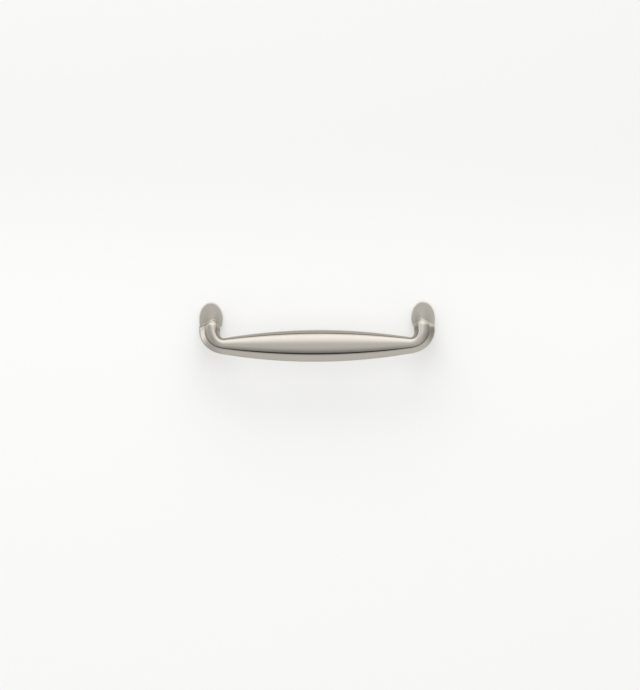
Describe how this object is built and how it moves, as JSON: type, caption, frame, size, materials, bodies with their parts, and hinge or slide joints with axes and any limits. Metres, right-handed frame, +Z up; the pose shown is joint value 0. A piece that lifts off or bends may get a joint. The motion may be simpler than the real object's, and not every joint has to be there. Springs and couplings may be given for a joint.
{
  "type": "drop pull",
  "caption": "Fixed drawer pull with a bowed, domed bar that hangs below oval feet on short legs, in satin nickel, for two screws from behind.",
  "frame": {"origin": "midway between the two screw holes, on the plane of the drawer front", "axes": "+X along the bar, +Y into the drawer front along the screw holes, +Z up; the bar hangs below the origin and stands out towards -Y"},
  "size_m": [0.1128, 0.0254, 0.0284],
  "materials": {
    "satin_nickel": "satin nickel plate, softly brushed, warm grey"
  },
  "bodies": {
    "root": {"pull": "satin_nickel"}
  },
  "joints": []
}
